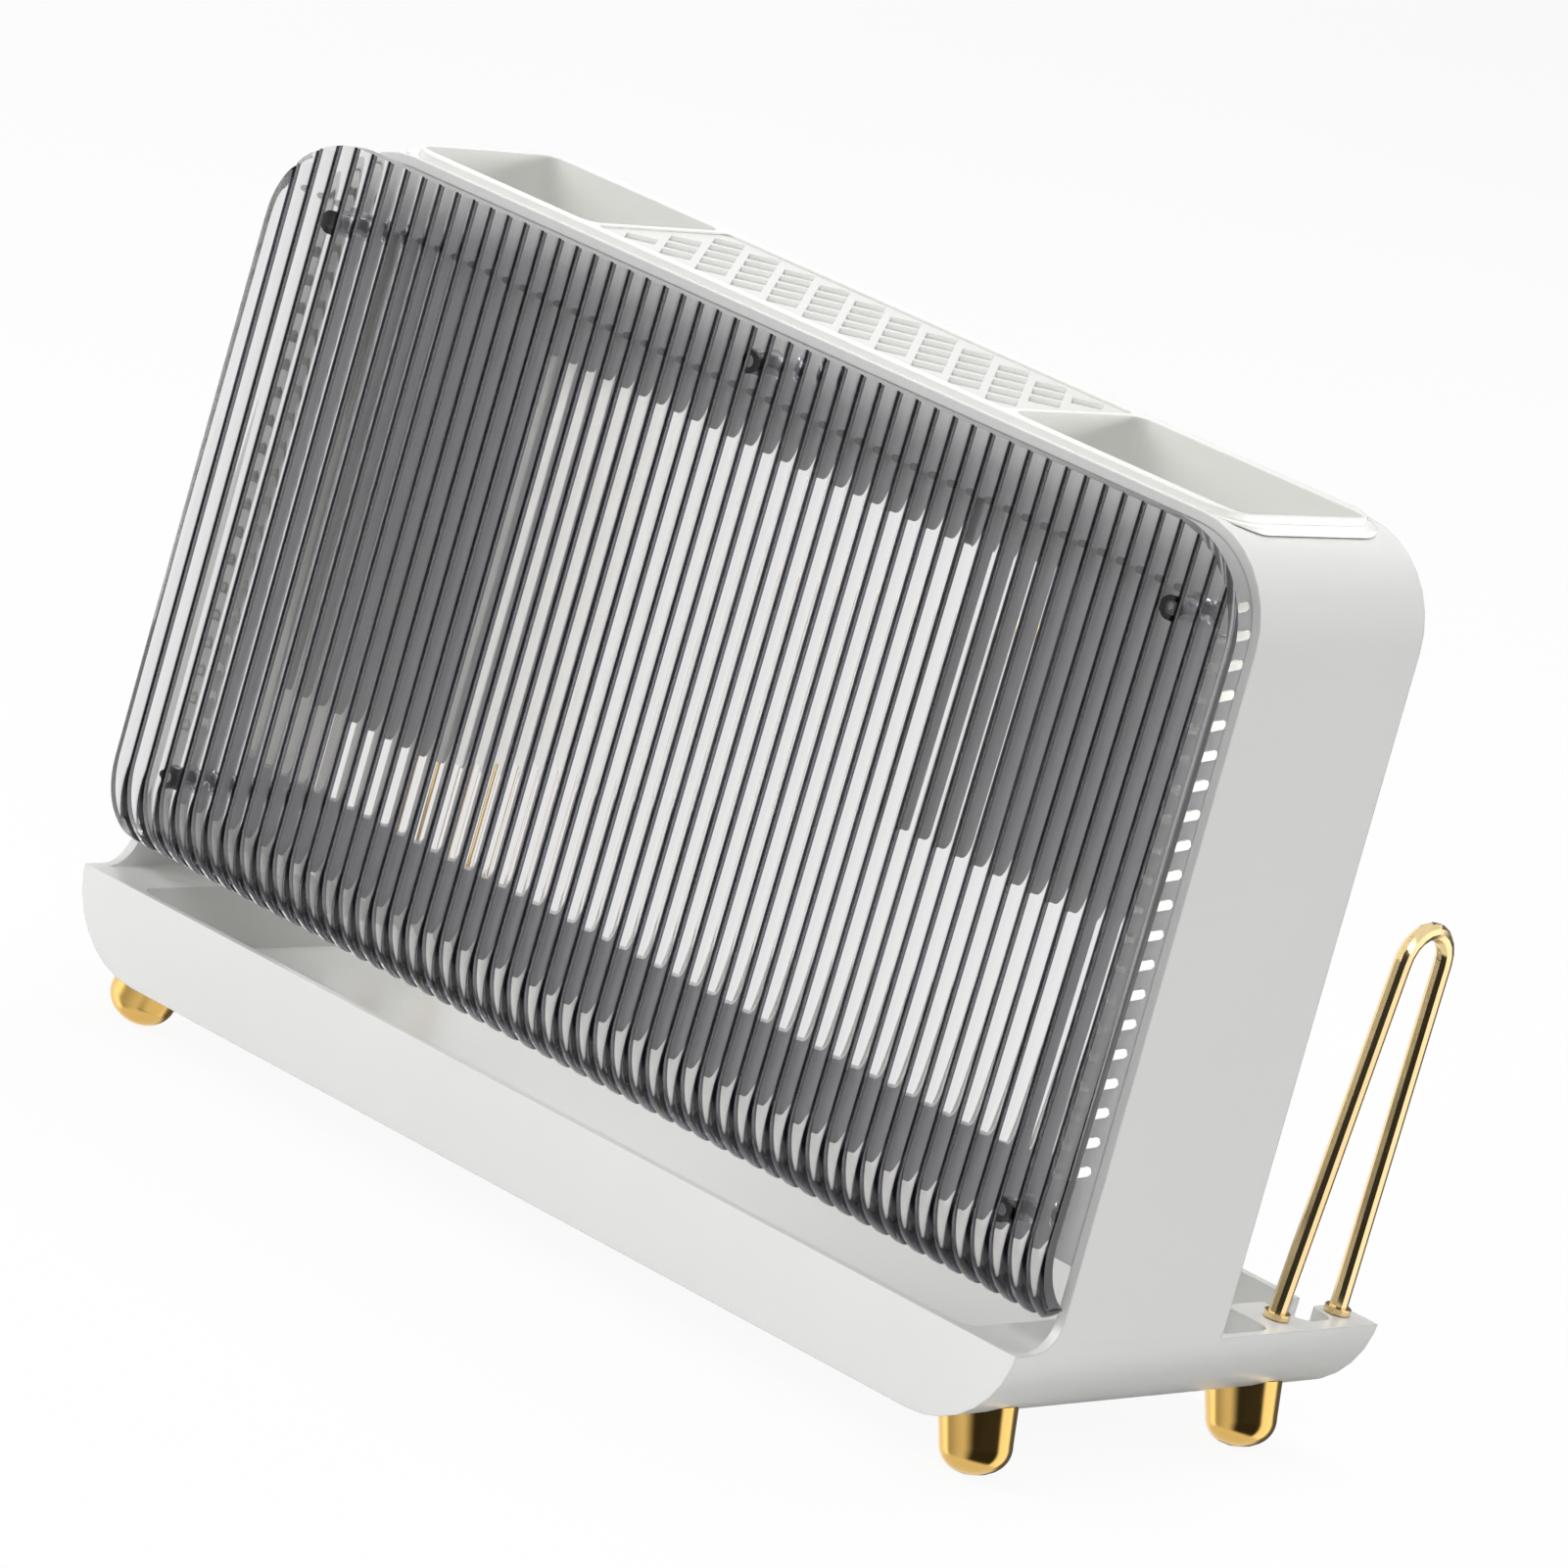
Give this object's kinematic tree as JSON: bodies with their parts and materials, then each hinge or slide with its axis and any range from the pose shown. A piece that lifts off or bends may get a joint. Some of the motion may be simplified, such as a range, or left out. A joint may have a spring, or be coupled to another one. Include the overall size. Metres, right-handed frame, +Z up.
{
  "type": "utensil drying holder",
  "caption": "White counter-top drying holder with a fluted smoke cover, lift-out cups, a knife grid, a drip tray, wire board loops and four gold feet.",
  "frame": {"origin": "under the middle of the whole object, at the level of the surface that it stands on", "axes": "+Z up, +X to the right as seen from the front, the fluted cover faces -Y"},
  "size_m": [0.3112, 0.1439, 0.233],
  "materials": {
    "casing_white": "glossy white moulded plastic",
    "organiser_white": "satin white moulded plastic",
    "cover_smoke": "clear smoke-tinted fluted plastic",
    "gold": "polished gold plating",
    "screw_steel": "dark zinc"
  },
  "bodies": {
    "holder": {"casing": "casing_white", "front_cover": "cover_smoke", "wire_loop_left": "gold", "wire_loop_right": "gold", "foot_front_left": "gold", "foot_front_right": "gold", "foot_rear_left": "gold", "foot_rear_right": "gold", "foot_screw_front_left": "screw_steel", "foot_screw_front_right": "screw_steel", "foot_screw_rear_left": "screw_steel", "foot_screw_rear_right": "screw_steel", "cover_screw_top_left": "screw_steel", "cover_screw_top_middle": "screw_steel", "cover_screw_top_right": "screw_steel", "cover_screw_low_left": "screw_steel", "cover_screw_low_right": "screw_steel"},
    "organiser": {"organiser": "organiser_white"},
    "knife_grid": {"knife_grid": "organiser_white"}
  },
  "joints": [
    {"name": "organiser_lift", "type": "slide", "parent": "holder", "child": "organiser", "axis": [0, 0, 1], "range_m": [0, 0.145]},
    {"name": "knife_grid_lift", "type": "slide", "parent": "organiser", "child": "knife_grid", "axis": [0, 0, 1], "range_m": [0, 0.05]}
  ]
}
